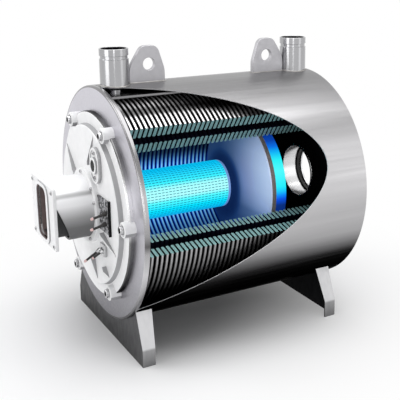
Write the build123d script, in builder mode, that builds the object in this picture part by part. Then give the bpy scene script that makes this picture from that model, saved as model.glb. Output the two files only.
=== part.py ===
from build123d import *
from math import cos, radians, sin
import os

os.makedirs("parts", exist_ok=True)

# Industrial boiler with a cutaway side. Sizes in millimetres.
# The boiler's axis runs along Y, the burner faces -Y and the cutaway is on the +X side.
# Angles are measured in front view from +X towards +Z.

# Vessel
shell_radius = 300.0
shell_wall = 4.0
shell_length = 605.0
front_plate_thickness = 12.0
rear_plate_thickness = 12.0
floor_clearance = 60.0

# Clearance between pieces that seat on a curve, and how far a cut runs past what it cuts
seat_gap = 0.3
cutter_overshoot = 30.0

# Cutaway in the shell, drawn in a plane that faces the viewer
cut_direction = 20.0
cut_edge_margin = 26.0
cut_nose_margin = 105.0
cut_front_handle = 238.0
cut_front_drop = 34.0
cut_nose_handle = 120.0

# Wedge taken out of both coils
wedge_top = 52.5
wedge_bottom = -13.8

# Coils, with flat-sided turns that keep the model light
coil_clearance = 21.0
outer_coil_depth = 34.0
coil_spacing = 24.0
inner_coil_depth = 33.0
coil_front_gap = 12.0
coil_sides = 32
turn_count = 47
open_gap_count = 39
turn_gap = 4.5
outer_gap_top_end = 67.5
outer_gap_bottom_end = -33.75
inner_gap_top_end = 56.25
inner_gap_bottom_end = -22.5
gap_overshoot = 3.0

# Burner and the disc that closes the combustion chamber
burner_radius = 65.0
burner_length = 350.0
burner_to_disc = 55.0
disc_thickness = 48.0

# Flue collar, welded into the rear plate
flue_radius = 80.0
flue_wall = 8.0
flue_inner_reach = 14.0
flue_outer_reach = 45.0

# Burner door
door_margin = 63.0
door_rim_width = 34.0
door_rim_thickness = 14.0
door_face_rise = 14.0
door_face_slope = 12.0
boss_inset = 7.0
boss_radius = 19.0
boss_count = 6
rib_width = 7.0
rib_rise = 6.0
rib_middle_radius = 158.0
rib_top_angle = 73.0
rib_top_length = 73.0
rib_left_angle = 140.0
rib_left_length = 74.0
rib_right_angle = -24.0
rib_right_length = 76.0
rib_bottom_angle = -77.0
rib_bottom_length = 52.0

# Inlet duct on the door
duct_flange_radius = 95.0
duct_flange_thickness = 12.0
duct_radius = 80.0
duct_reach = 119.0
duct_slope_top = 35.0
duct_slope_run = 46.0
neck_width = 118.0
neck_top = 66.0
neck_bottom = 64.0
inlet_width = 180.0
inlet_height = 158.0
inlet_thickness = 12.0
inlet_corner = 8.0
inlet_hole_inset = 12.0
inlet_hole_radius = 4.5
opening_width = 76.0
opening_height = 132.0
opening_corner = 22.0

# Sight glass in an oval pad of the door
sight_radius_position = 146.0
sight_angle = 56.0
sight_pad_length = 80.0
sight_pad_width = 54.0
sight_pad_rise = 5.0
sight_bezel_radius = 23.0
sight_bezel_height = 8.0
sight_glass_radius = 15.0
sight_glass_thickness = 2.0

# Electrodes and igniter
electrode_plate_reach = 157.0
electrode_plate_height = 84.0
electrode_plate_thickness = 5.0
electrode_plate_offset = 6.0
electrode_position = 140.0
electrode_middle = 3.5
electrode_spacing = 27.0
electrode_radius = 3.0
electrode_length = 36.0
electrode_lean = 14.0
igniter_radius_position = 140.0
igniter_angle = -37.0
igniter_block_width = 26.0
igniter_block_height = 34.0
igniter_block_depth = 10.0
igniter_rod_radius = 3.5
igniter_rod_length = 50.0
igniter_lean = 30.0

# Water stubs and the header between the coils and the shell
stub_radius = 36.5
stub_wall = 4.5
stub_height = 91.0
stub_floor = 4.0
stub_groove_from_top = 17.0
stub_groove_width = 9.0
stub_groove_depth = 2.2
front_stub_inset = 56.0
rear_stub_inset = 42.0
header_half_width = 75.0
header_thickness = 6.7
header_end_gap = 6.0

# Lifting lugs
lug_thickness = 14.0
lug_length = 97.0
lug_height = 92.7
lug_long_side = 36.0
lug_short_side = 28.0
lug_crown_start = 38.5
lug_crown_end = 72.5
lug_crown_round = 18.0
lug_hole_radius = 16.0
lug_hole_position = 53.5
lug_hole_height = 46.0
front_lug_inset = 93.0
rear_lug_inset = 79.0

# Legs
leg_half_width = 230.0
leg_top_angle = -49.0
leg_tuck = 6.0
leg_fold_height = 47.0
leg_depth = 43.0
leg_foot_depth = 34.0
leg_plate = 4.0
front_leg_inset = 11.0
rear_leg_inset = 45.0

# Sizes and places that follow from the ones above
axis_height = shell_radius + floor_clearance
door_reach = door_rim_thickness + door_face_rise
front_reach = door_reach + duct_reach
vessel_length = front_plate_thickness + shell_length + rear_plate_thickness
flue_length = flue_inner_reach + rear_plate_thickness + flue_outer_reach
overall_length = front_reach + vessel_length + flue_outer_reach
front_y = front_reach - overall_length / 2
rear_y = front_y + vessel_length
shell_start = front_y + front_plate_thickness
shell_end = shell_start + shell_length
inner_radius = shell_radius - shell_wall
beyond_shell = shell_radius + cutter_overshoot
wedge_reach = shell_radius * 2
coil_start = shell_start + coil_front_gap
coil_length = shell_end - coil_start
turn_pitch = coil_length / turn_count
outer_coil_radius = inner_radius - coil_clearance
outer_coil_bore = outer_coil_radius - outer_coil_depth
inner_coil_radius = outer_coil_bore - coil_spacing
inner_coil_bore = inner_coil_radius - inner_coil_depth
front_stub_y = front_y + front_stub_inset
rear_stub_y = rear_y - rear_stub_inset


def front_view(y):
    """Drawing plane across the boiler at y, seen from the front."""
    return Plane(origin=(0, y, axis_height), x_dir=(1, 0, 0), z_dir=(0, -1, 0))


def side_view(x):
    """Drawing plane along the boiler at x, seen from +X."""
    return Plane(origin=(x, 0, axis_height), x_dir=(0, 1, 0), z_dir=(1, 0, 0))


def on_circle(radius, angle):
    return (radius * cos(radians(angle)), radius * sin(radians(angle)))


# The front plate closes the shell behind the burner door.
with BuildPart() as front_plate:
    with BuildSketch(front_view(front_y)):
        Circle(shell_radius)
    extrude(amount=-front_plate_thickness)
front_plate.part.label = "front_plate"
export_step(front_plate.part, "parts/front_plate.step")

# The flue collar is welded into the rear plate and stands out on both sides of it.
with BuildPart() as rear_plate:
    with BuildSketch(front_view(shell_end)):
        Circle(shell_radius)
    extrude(amount=-rear_plate_thickness)
    with BuildSketch(front_view(shell_end - flue_inner_reach)):
        Circle(flue_radius)
    extrude(amount=-flue_length)
    with BuildSketch(front_view(shell_end - flue_inner_reach)):
        Circle(flue_radius - flue_wall)
    extrude(amount=-flue_length, mode=Mode.SUBTRACT)
rear_plate.part.label = "rear_plate"
export_step(rear_plate.part, "parts/rear_plate.step")

# The shell is a rolled tube with the pointed cutaway.
cut_reach = shell_length - cut_nose_margin
cut_half_width = shell_radius - cut_edge_margin
cut_vector = Vector(cos(radians(cut_direction)), 0, sin(radians(cut_direction)))
cut_plane = Plane(origin=(0, shell_start, axis_height), x_dir=(0, 1, 0), z_dir=cut_vector)
with BuildPart() as outer_shell:
    with BuildSketch(front_view(shell_start)):
        Circle(shell_radius)
        Circle(inner_radius, mode=Mode.SUBTRACT)
    extrude(amount=-shell_length)
    with BuildSketch(cut_plane):
        with BuildLine():
            Bezier(
                (0, cut_half_width),
                (cut_front_handle, cut_half_width - cut_front_drop),
                (cut_reach, cut_nose_handle),
                (cut_reach, 0),
            )
            Bezier(
                (cut_reach, 0),
                (cut_reach, -cut_nose_handle),
                (cut_front_handle, cut_front_drop - cut_half_width),
                (0, -cut_half_width),
            )
            Line((0, -cut_half_width), (0, cut_half_width))
        make_face()
    extrude(amount=beyond_shell, mode=Mode.SUBTRACT)
outer_shell.part.label = "outer_shell"
export_step(outer_shell.part, "parts/outer_shell.step")


def stack_section(radius, bore):
    """Section of a coil stack, a flat-sided ring that is open at the wedge."""
    with BuildSketch() as section:
        RegularPolygon(radius, coil_sides)
        RegularPolygon(bore, coil_sides, major_radius=False, mode=Mode.SUBTRACT)
        with BuildLine():
            Polyline(
                (0, 0),
                on_circle(wedge_reach, wedge_bottom),
                on_circle(wedge_reach, wedge_top),
                close=True,
            )
        make_face(mode=Mode.SUBTRACT)
    return section.sketch


def turn_gaps(radius, bore, top_end, bottom_end):
    """Gaps between turns beside both cut faces, right through at the face and running out at the end."""
    deep = bore - gap_overshoot
    high = radius + gap_overshoot
    with BuildSketch() as gaps:
        for face, end in ((wedge_top, top_end), (wedge_bottom, bottom_end)):
            with BuildLine():
                Polyline(
                    (0, 0),
                    on_circle(deep, face),
                    on_circle(radius, end),
                    on_circle(high, end),
                    on_circle(beyond_shell, (face + end) / 2),
                    on_circle(high, face),
                    close=True,
                )
            make_face()
    return gaps.sketch


# The gaps behind the last open one stay closed, because the uncut shell hides them.
gap_places = [coil_start + turn_pitch * (n + 1) - turn_gap / 2 for n in range(open_gap_count)]

with BuildPart() as outer_coil:
    with BuildSketch(front_view(coil_start)):
        add(stack_section(outer_coil_radius, outer_coil_bore))
    extrude(amount=-coil_length)
    with BuildSketch(*[front_view(y) for y in gap_places]):
        add(turn_gaps(outer_coil_radius, outer_coil_bore, outer_gap_top_end, outer_gap_bottom_end))
    extrude(amount=-turn_gap, mode=Mode.SUBTRACT)
outer_coil.part.label = "outer_coil"
export_step(outer_coil.part, "parts/outer_coil.step")

with BuildPart() as inner_coil:
    with BuildSketch(front_view(coil_start)):
        add(stack_section(inner_coil_radius, inner_coil_bore))
    extrude(amount=-coil_length)
    with BuildSketch(*[front_view(y) for y in gap_places]):
        add(turn_gaps(inner_coil_radius, inner_coil_bore, inner_gap_top_end, inner_gap_bottom_end))
    extrude(amount=-turn_gap, mode=Mode.SUBTRACT)
inner_coil.part.label = "inner_coil"
export_step(inner_coil.part, "parts/inner_coil.step")

# The burner stands on the front plate and is solid, because its open inside is out of view.
with BuildPart() as burner_tube:
    with BuildSketch(front_view(shell_start)):
        Circle(burner_radius)
    extrude(amount=shell_start - front_y - burner_length)
burner_tube.part.label = "burner_tube"
export_step(burner_tube.part, "parts/burner_tube.step")

# The refractory disc closes the inner coil behind the burner.
with BuildPart() as refractory_disc:
    with BuildSketch(front_view(front_y + burner_length + burner_to_disc)):
        Circle(inner_coil_bore - seat_gap)
    extrude(amount=-disc_thickness)
refractory_disc.part.label = "refractory_disc"
export_step(refractory_disc.part, "parts/refractory_disc.step")

# The header lies on the outer coil.
header_start = shell_start + header_end_gap
header_end = shell_end - header_end_gap
with BuildPart() as upper_header:
    with BuildSketch(Plane.XY.offset(axis_height + outer_coil_radius + seat_gap)):
        with Locations((0, (header_start + header_end) / 2)):
            Rectangle(header_half_width * 2, header_end - header_start)
    extrude(amount=header_thickness)
upper_header.part.label = "upper_header"
export_step(upper_header.part, "parts/upper_header.step")

# Both water stubs are one node of two equal pipes, each saddled on the shell and closed by a floor.
stub_top = shell_radius + stub_height
groove_top = stub_top - stub_groove_from_top
groove_bottom = groove_top - stub_groove_width
groove_radius = stub_radius - stub_groove_depth
with BuildPart() as water_stubs:
    for y in (front_stub_y, rear_stub_y):
        with BuildSketch(front_view(y)):
            with BuildLine():
                Polyline(
                    (0, inner_radius),
                    (stub_radius, inner_radius),
                    (stub_radius, groove_bottom),
                    (groove_radius, groove_bottom),
                    (groove_radius, groove_top),
                    (stub_radius, groove_top),
                    (stub_radius, stub_top),
                    (0, stub_top),
                    close=True,
                )
            make_face()
        revolve(axis=Axis((0, y, 0), (0, 0, 1)))
    with BuildSketch(Plane.XY.offset(axis_height + shell_radius + stub_floor)):
        with Locations((0, front_stub_y), (0, rear_stub_y)):
            Circle(stub_radius - stub_wall)
    extrude(amount=stub_height - stub_floor, mode=Mode.SUBTRACT)
    with BuildSketch(front_view(front_y)):
        Circle(shell_radius + seat_gap)
    extrude(amount=-vessel_length, mode=Mode.SUBTRACT)
water_stubs.part.label = "water_stubs"
export_step(water_stubs.part, "parts/water_stubs.step")

# Both lifting lugs are one node of two plates that mirror each other.
with BuildPart() as lifting_lugs:
    with BuildSketch(side_view(-lug_thickness / 2)):
        for y, way in ((front_y + front_lug_inset, 1), (rear_y - rear_lug_inset, -1)):
            base = shell_radius + seat_gap
            with BuildLine():
                Polyline(
                    (y, base),
                    (y, base + lug_long_side),
                    (y + way * lug_crown_start, base + lug_height),
                    (y + way * lug_crown_end, base + lug_height),
                    (y + way * lug_length, base + lug_short_side),
                    (y + way * lug_length, base),
                    close=True,
                )
            make_face()
            with Locations((y + way * lug_hole_position, base + lug_hole_height)):
                Circle(lug_hole_radius, mode=Mode.SUBTRACT)
    extrude(amount=lug_thickness)
    crown_edges = lifting_lugs.edges().filter_by(Axis.X).group_by(Axis.Z)[-1]
    fillet(crown_edges, radius=lug_crown_round)
lifting_lugs.part.label = "lifting_lugs"
export_step(lifting_lugs.part, "parts/lifting_lugs.step")


def leg_outline(half_width, top_half_width):
    """Front outline of a leg or its pocket, straight at the foot and narrower above the fold."""
    fold = leg_fold_height - axis_height
    top = leg_top[1]
    with BuildLine() as outline:
        Polyline(
            (-half_width, -axis_height),
            (half_width, -axis_height),
            (half_width, fold),
            (top_half_width, top),
            (-top_half_width, top),
            (-half_width, fold),
            close=True,
        )
    return outline.line


leg_top = on_circle(shell_radius - leg_tuck, leg_top_angle)


def leg(y, way):
    """Folded leg from its web's outer face at y, open towards the boiler's middle."""
    beyond_side = leg_half_width + cutter_overshoot
    beyond_leg = y + way * (leg_depth + cutter_overshoot)
    with BuildPart() as channel:
        with BuildSketch(front_view(y)):
            with BuildLine():
                add(leg_outline(leg_half_width, leg_top[0]))
            make_face()
        extrude(amount=-way * leg_depth)
        with BuildSketch(front_view(y + way * leg_plate)):
            with BuildLine():
                add(leg_outline(leg_half_width - leg_plate, leg_top[0] - leg_plate))
            make_face()
        extrude(amount=-way * leg_depth, mode=Mode.SUBTRACT)
        with BuildSketch(side_view(-beyond_side)):
            with BuildLine():
                Polyline(
                    (y + way * leg_foot_depth, -axis_height),
                    (y + way * leg_foot_depth, leg_fold_height - axis_height),
                    (y + way * leg_depth, leg_top[1]),
                    (beyond_leg, leg_top[1]),
                    (beyond_leg, -axis_height),
                    close=True,
                )
            make_face()
        extrude(amount=beyond_side * 2, mode=Mode.SUBTRACT)
        with BuildSketch(front_view(beyond_leg)):
            Circle(shell_radius + seat_gap)
        extrude(amount=way * (leg_depth + cutter_overshoot * 2), mode=Mode.SUBTRACT)
    return channel.part


with BuildPart() as front_leg:
    add(leg(front_y + front_leg_inset, 1))
front_leg.part.label = "front_leg"
export_step(front_leg.part, "parts/front_leg.step")

with BuildPart() as rear_leg:
    add(leg(rear_y - rear_leg_inset, -1))
rear_leg.part.label = "rear_leg"
export_step(rear_leg.part, "parts/rear_leg.step")

# The burner door is one casting: rim, raised face, bosses, ribs and the sight glass's pad.
door_radius = shell_radius - door_margin
door_face_y = front_y - door_reach
pad_y = door_face_y - sight_pad_rise
bezel_y = pad_y - sight_bezel_height
sight_place = on_circle(sight_radius_position, sight_angle)


def rib(angle, length):
    """Outline of a radial rib on the door's face."""
    with PolarLocations(rib_middle_radius, 1, start_angle=angle):
        Rectangle(length, rib_width)


with BuildPart() as burner_door:
    with BuildSketch(front_view(front_y)):
        Circle(door_radius)
    extrude(amount=door_rim_thickness)
    with BuildSketch(front_view(front_y - door_rim_thickness)):
        Circle(door_radius - door_rim_width)
    extrude(amount=door_face_rise, taper=door_face_slope)
    with BuildSketch(front_view(front_y)):
        with PolarLocations(door_radius - boss_inset, boss_count):
            Circle(boss_radius)
    extrude(amount=door_reach)
    with BuildSketch(front_view(door_face_y)):
        rib(rib_top_angle, rib_top_length)
        rib(rib_left_angle, rib_left_length)
        rib(rib_right_angle, rib_right_length)
        rib(rib_bottom_angle, rib_bottom_length)
    extrude(amount=rib_rise)
    with BuildSketch(front_view(door_face_y)):
        with Locations(Location(sight_place, 90)):
            SlotOverall(sight_pad_length, sight_pad_width)
    extrude(amount=sight_pad_rise)
    with BuildSketch(front_view(pad_y)):
        with Locations(sight_place):
            Circle(sight_bezel_radius)
    extrude(amount=sight_bezel_height)
burner_door.part.label = "burner_door"
export_step(burner_door.part, "parts/burner_door.step")

with BuildPart() as sight_glass:
    with BuildSketch(front_view(bezel_y)):
        with Locations(sight_place):
            Circle(sight_glass_radius)
    extrude(amount=sight_glass_thickness)
sight_glass.part.label = "sight_glass"
export_step(sight_glass.part, "parts/sight_glass.step")

# The inlet duct is a second casting, from a square flange over a narrow neck to a round body.
inlet_front_y = door_face_y - duct_reach
inlet_back_y = inlet_front_y + inlet_thickness
body_start_y = door_face_y - duct_flange_thickness
below_duct = -duct_radius - cutter_overshoot
with BuildPart() as inlet_duct:
    with BuildSketch(front_view(door_face_y)):
        Circle(duct_flange_radius)
    extrude(amount=duct_flange_thickness)
    with BuildSketch(front_view(body_start_y)):
        Circle(duct_radius)
    extrude(amount=body_start_y - inlet_back_y)
    with BuildSketch(side_view(below_duct)):
        with BuildLine():
            Polyline(
                (inlet_back_y, duct_slope_top),
                (inlet_back_y + duct_slope_run, -duct_radius),
                (inlet_back_y + duct_slope_run, below_duct),
                (inlet_front_y, below_duct),
                (inlet_front_y, duct_slope_top),
                close=True,
            )
        make_face()
    extrude(amount=-below_duct * 2, mode=Mode.SUBTRACT)
    with BuildSketch(front_view(inlet_back_y)):
        with Locations((0, (neck_top - neck_bottom) / 2)):
            Rectangle(neck_width, neck_top + neck_bottom)
    extrude(amount=-duct_slope_run)
    with BuildSketch(front_view(inlet_back_y)):
        RectangleRounded(inlet_width, inlet_height, inlet_corner)
    extrude(amount=inlet_thickness)
    with BuildSketch(front_view(door_face_y)):
        RectangleRounded(opening_width, opening_height, opening_corner)
    extrude(amount=duct_reach, mode=Mode.SUBTRACT)
    with BuildSketch(front_view(inlet_back_y)):
        with GridLocations(inlet_width - 2 * inlet_hole_inset, inlet_height - 2 * inlet_hole_inset, 2, 2):
            Circle(inlet_hole_radius)
    extrude(amount=inlet_thickness, mode=Mode.SUBTRACT)
inlet_duct.part.label = "inlet_duct"
export_step(inlet_duct.part, "parts/inlet_duct.step")

# Two electrodes stand on a plate beside the duct, and the igniter sits below them.
with BuildPart() as electrode_plate:
    with BuildSketch(front_view(door_face_y)):
        with Locations((electrode_plate_reach / 2, electrode_plate_offset)):
            Rectangle(electrode_plate_reach, electrode_plate_height)
        Circle(duct_flange_radius + seat_gap, mode=Mode.SUBTRACT)
    extrude(amount=electrode_plate_thickness)
electrode_plate.part.label = "electrode_plate"
export_step(electrode_plate.part, "parts/electrode_plate.step")


def leaning_rod(place, face_y, radius, length, lean):
    """Rod that leaves the face at y towards the front and leans down from it."""
    way = Vector(0, -cos(radians(lean)), -sin(radians(lean)))
    root = Vector(place[0], face_y, axis_height + place[1])
    with BuildPart() as rod:
        with BuildSketch(Plane(origin=root - way * radius, x_dir=(1, 0, 0), z_dir=way)):
            Circle(radius)
        extrude(amount=length + radius)
        split(bisect_by=front_view(face_y), keep=Keep.TOP)
    return rod.part


electrode_y = door_face_y - electrode_plate_thickness
upper_place = (electrode_position, electrode_middle + electrode_spacing / 2)
lower_place = (electrode_position, electrode_middle - electrode_spacing / 2)
with BuildPart() as upper_electrode:
    add(leaning_rod(upper_place, electrode_y, electrode_radius, electrode_length, electrode_lean))
upper_electrode.part.label = "upper_electrode"
export_step(upper_electrode.part, "parts/upper_electrode.step")

with BuildPart() as lower_electrode:
    add(leaning_rod(lower_place, electrode_y, electrode_radius, electrode_length, electrode_lean))
lower_electrode.part.label = "lower_electrode"
export_step(lower_electrode.part, "parts/lower_electrode.step")

igniter_place = on_circle(igniter_radius_position, igniter_angle)
with BuildPart() as igniter_block:
    with BuildSketch(front_view(door_face_y)):
        with Locations(igniter_place):
            Rectangle(igniter_block_width, igniter_block_height)
    extrude(amount=igniter_block_depth)
igniter_block.part.label = "igniter_block"
export_step(igniter_block.part, "parts/igniter_block.step")

igniter_y = door_face_y - igniter_block_depth
with BuildPart() as igniter_rod:
    add(leaning_rod(igniter_place, igniter_y, igniter_rod_radius, igniter_rod_length, igniter_lean))
igniter_rod.part.label = "igniter_rod"
export_step(igniter_rod.part, "parts/igniter_rod.step")
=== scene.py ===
import math

import bmesh
import bpy
from mathutils import Matrix, Vector

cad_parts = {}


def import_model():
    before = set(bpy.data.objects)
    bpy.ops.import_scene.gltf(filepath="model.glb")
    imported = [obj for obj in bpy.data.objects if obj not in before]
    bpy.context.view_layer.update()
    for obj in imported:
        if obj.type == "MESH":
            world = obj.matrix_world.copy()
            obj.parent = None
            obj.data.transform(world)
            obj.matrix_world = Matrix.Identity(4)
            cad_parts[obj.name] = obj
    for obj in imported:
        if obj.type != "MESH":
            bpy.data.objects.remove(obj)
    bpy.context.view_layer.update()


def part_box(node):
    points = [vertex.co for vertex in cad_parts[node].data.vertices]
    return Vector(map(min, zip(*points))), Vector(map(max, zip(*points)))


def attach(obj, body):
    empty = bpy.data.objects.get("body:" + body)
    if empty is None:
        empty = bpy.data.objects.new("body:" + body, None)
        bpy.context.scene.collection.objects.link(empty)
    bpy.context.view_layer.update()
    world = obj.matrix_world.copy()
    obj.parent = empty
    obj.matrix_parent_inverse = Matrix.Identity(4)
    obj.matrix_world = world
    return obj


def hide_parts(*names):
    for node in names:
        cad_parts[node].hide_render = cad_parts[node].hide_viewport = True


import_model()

# An industrial boiler with a cutaway side. Lengths are in metres, angles in degrees.
# The axis runs along Y, the door faces -Y and the cutaway is on the +X side.

# Main sizes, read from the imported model
plate_low, plate_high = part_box("front_plate")
shell_low, shell_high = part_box("outer_shell")
rear_low, rear_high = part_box("rear_plate")
header_low, header_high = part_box("upper_header")
burner_low, burner_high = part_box("burner_tube")
disc_low, disc_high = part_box("refractory_disc")
SHELL_RADIUS = (plate_high.x - plate_low.x) / 2
AXIS_Z = (plate_low.z + plate_high.z) / 2
FRONT_Y = plate_low.y
HEADER_TOP = header_high.z - AXIS_Z

# Depths behind the front plate's face
SHELL_START = shell_low.y - FRONT_Y
SHELL_END = shell_high.y - FRONT_Y
PLATE = SHELL_START
VESSEL_END = SHELL_END + PLATE
SHELL_WALL = 0.004
BURNER_END = burner_high.y - FRONT_Y
BURNER_RADIUS = (burner_high.x - burner_low.x) / 2
DISC_START = disc_low.y - FRONT_Y
DISC_END = disc_high.y - FRONT_Y
DISC_RADIUS = (disc_high.x - disc_low.x) / 2
COLLAR_START = rear_low.y - FRONT_Y
COLLAR_END = rear_high.y - FRONT_Y

# Coils and the wedge taken out of them
WEDGE_TOP = 52.5
WEDGE_BOTTOM = -13.8
TURN_COUNT = 47
TURN_GAP = 0.0045
COIL_START = 0.024
TURN_PITCH = (SHELL_END - COIL_START) / TURN_COUNT
OUTER_COIL = (0.241, 0.275)
INNER_COIL = (0.184, 0.217)

# Door and duct
DOOR_RADIUS = 0.237
DOOR_FACE = -0.028
BOSS_RADIUS = 0.23
DUCT_FRONT = -0.147

# Meshes: the angle above which an edge stays sharp, the number of faces above which normals aren't
# weighted, and the distance below which points count as one
SHARP_ANGLE = 32
HEAVY_MESH = 20000
SAME_PLACE = 1e-6

# Noise values between which colour and roughness change
NOISE_LOW, NOISE_HIGH = 0.3, 0.7


def at(x, depth, height):
    """Place at x, so far behind the front plate's face and so high above the axis."""
    return Vector((x, FRONT_Y + depth, AXIS_Z + height))


def on_circle(radius, angle):
    return radius * math.cos(math.radians(angle)), radius * math.sin(math.radians(angle))


def circle(radius, steps, centre=(0, 0)):
    spread = [on_circle(radius, 360 * i / steps) for i in range(steps)]
    return [(centre[0] + x, centre[1] + y) for x, y in spread]


def on_crown(x, depth):
    """Place on the shell's upper side."""
    return at(x, depth, math.sqrt(SHELL_RADIUS ** 2 - x ** 2))


def front_view(x, depth, height, turn=0):
    """Drawing plane seen from the front: its x is +X, its y is up and its z comes out to the viewer."""
    plane = Matrix(((1, 0, 0), (0, 0, -1), (0, 1, 0))).to_4x4()
    return Matrix.Translation(at(x, depth, height)) @ plane @ Matrix.Rotation(math.radians(turn), 4, "Z")


def side_view(x, depth, height):
    """Drawing plane seen from +X: its x runs backwards, its y is up and its z is +X."""
    plane = Matrix(((0, 0, 1), (1, 0, 0), (0, 1, 0))).to_4x4()
    return Matrix.Translation(at(x, depth, height)) @ plane


# Making pieces


def linked(name, data, looks=()):
    """Object in the scene that shows the data, with these materials."""
    for look in looks:
        data.materials.append(look)
    thing = bpy.data.objects.new(name, data)
    bpy.context.scene.collection.objects.link(thing)
    return thing


def new_piece(name, mesh, looks):
    mesh.polygons.foreach_set("use_smooth", [True] * len(mesh.polygons))
    mesh.set_sharp_from_angle(angle=math.radians(SHARP_ANGLE))
    piece = linked(name, mesh, looks)
    if len(mesh.polygons) < HEAVY_MESH:
        weighted = piece.modifiers.new("flat_faces_stay_flat", "WEIGHTED_NORMAL")
        weighted.keep_sharp = True
    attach(piece, "root")
    return piece


def finished_mesh(name, bm):
    """Mesh with its faces turned outwards. The bmesh is freed."""
    bmesh.ops.recalc_face_normals(bm, faces=bm.faces)
    mesh = bpy.data.meshes.new(name)
    bm.to_mesh(mesh)
    bm.free()
    return mesh


def from_bmesh(name, bm, looks):
    return new_piece(name, finished_mesh(name, bm), looks)


def shaped(blank, *tools):
    """The blank's mesh after its modifiers. The blank and the tools are removed."""
    bpy.context.view_layer.update()
    graph = bpy.context.evaluated_depsgraph_get()
    mesh = bpy.data.meshes.new_from_object(blank.evaluated_get(graph))
    for thing in (blank, *tools):
        bpy.data.objects.remove(thing)
    return mesh


def rounded(points, radius, closed=False, steps=4):
    """The path's points, with its corners rounded by a radius, or by one radius a corner."""
    side_share = 0.48
    points = [Vector(p) for p in points]
    radii = radius if isinstance(radius, (list, tuple)) else [radius] * len(points)
    path = []
    for i, corner in enumerate(points):
        if radii[i] == 0 or (not closed and i in (0, len(points) - 1)):
            path.append(corner)
            continue
        back = points[i - 1] - corner
        on = points[(i + 1) % len(points)] - corner
        reach = min(radii[i] / math.tan(back.angle(on) / 2), back.length * side_share, on.length * side_share)
        start = corner + back.normalized() * reach
        end = corner + on.normalized() * reach
        for k in range(steps + 1):
            t = k / steps
            path.append(start * (1 - t) ** 2 + corner * 2 * t * (1 - t) + end * t ** 2)
    return path


def rectangle(width, height, corner, steps=5):
    """Outline with rounded corners."""
    corners = [(x * width / 2, y * height / 2) for x, y in ((1, 1), (-1, 1), (-1, -1), (1, -1))]
    return rounded(corners, corner, closed=True, steps=steps)


def capsule(length, width, steps=12):
    """Outline with two half-round ends, upright."""
    half = (length - width) / 2
    path = []
    for start, middle in ((0, half), (180, -half)):
        for i in range(steps + 1):
            x, y = on_circle(width / 2, start + 180 * i / steps)
            path.append((x, middle + y))
    return path


def add_ring(bm, points):
    return [bm.verts.new(point) for point in points]


def bridge(bm, low, high, index=0):
    """Faces between two closed rings with as many vertices."""
    for i in range(len(low)):
        n = (i + 1) % len(low)
        bm.faces.new((low[i], low[n], high[n], high[i])).material_index = index


def add_loft(bm, loops, capped=(0, -1), index=0, cap_index=0):
    """Skin over closed loops with as many points, and a face on each capped loop."""
    rings = [add_ring(bm, loop) for loop in loops]
    for low, high in zip(rings, rings[1:]):
        bridge(bm, low, high, index)
    for k in capped:
        bm.faces.new(rings[k]).material_index = cap_index


def add_lathe(bm, profile, plane, steps=96, closed=False, paint=None):
    """Turns a profile of (radius, height) about the plane's z axis. paint gives each stretch's material."""
    rings = []
    for i in range(steps):
        ring = []
        for k, (radius, height) in enumerate(profile):
            if radius < SAME_PLACE and rings:
                ring.append(rings[0][k])
            else:
                ring.append(bm.verts.new(plane @ Vector((*on_circle(radius, 360 * i / steps), height))))
        rings.append(ring)
    for here, there in zip(rings, rings[1:] + rings[:1]):
        for k in range(len(profile) if closed else len(profile) - 1):
            n = (k + 1) % len(profile)
            corners = list(dict.fromkeys((here[k], here[n], there[n], there[k])))
            if len(corners) > 2:
                bm.faces.new(corners).material_index = paint[k] if paint else 0


def lathe(name, profile, plane, looks, steps=96, closed=False, paint=None):
    bm = bmesh.new()
    add_lathe(bm, profile, plane, steps, closed, paint)
    return from_bmesh(name, bm, looks)


def add_curve(bm, paths, closed, transform=None, **settings):
    """Adds what a curve through the paths' points becomes with the settings."""
    curve = bpy.data.curves.new("curve", "CURVE")
    for key, value in settings.items():
        setattr(curve, key, value)
    for path in paths:
        spline = curve.splines.new("POLY")
        spline.points.add(len(path) - 1)
        for vertex, place in zip(spline.points, path):
            vertex.co = (*place, 1)
        spline.use_cyclic_u = closed
    holder = bpy.data.objects.new("curve", curve)
    mesh = bpy.data.meshes.new_from_object(holder)
    bpy.data.objects.remove(holder)
    if transform:
        mesh.transform(transform)
    bm.from_mesh(mesh)
    bpy.data.meshes.remove(mesh)


def add_plate(bm, outlines, thickness, plane, bevel=0.001):
    """Flat plate with rounded edges that stands on the plane. The first outline is its edge, the others
    are holes."""
    paths = []
    for number, outline in enumerate(outlines):
        path = [(p[0], p[1], 0) for p in outline]
        area = sum(a[0] * b[1] - b[0] * a[1] for a, b in zip(path, path[1:] + path[:1]))
        if (area > 0) != (number == 0):
            path.reverse()
        paths.append(path)
    middle = plane @ Matrix.Translation((0, 0, thickness / 2))
    add_curve(bm, paths, True, middle, dimensions="2D", fill_mode="BOTH", extrude=thickness / 2 - bevel,
              bevel_depth=bevel, bevel_resolution=2, offset=-bevel)


def plate(name, outlines, thickness, plane, looks, bevel):
    bm = bmesh.new()
    add_plate(bm, outlines, thickness, plane, bevel)
    bmesh.ops.remove_doubles(bm, verts=bm.verts, dist=SAME_PLACE)
    return from_bmesh(name, bm, looks)


def wire(name, path, radius, look, closed=True):
    """Round wire along a path."""
    bm = bmesh.new()
    add_curve(bm, (path,), closed, dimensions="3D", bevel_depth=radius, bevel_resolution=3,
              use_fill_caps=True)
    return from_bmesh(name, bm, (look,))


def bar(name, low, high, bevel, look):
    """Box between two corners, with rounded edges."""
    low, high = Vector(low), Vector(high)
    bm = bmesh.new()
    for vertex in bmesh.ops.create_cube(bm, size=1)["verts"]:
        vertex.co = (low + high) / 2 + Vector(a * b for a, b in zip(vertex.co, high - low))
    bmesh.ops.bevel(bm, geom=list(bm.edges), offset=bevel, segments=2, profile=0.5, affect="EDGES")
    return from_bmesh(name, bm, (look,))


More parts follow.
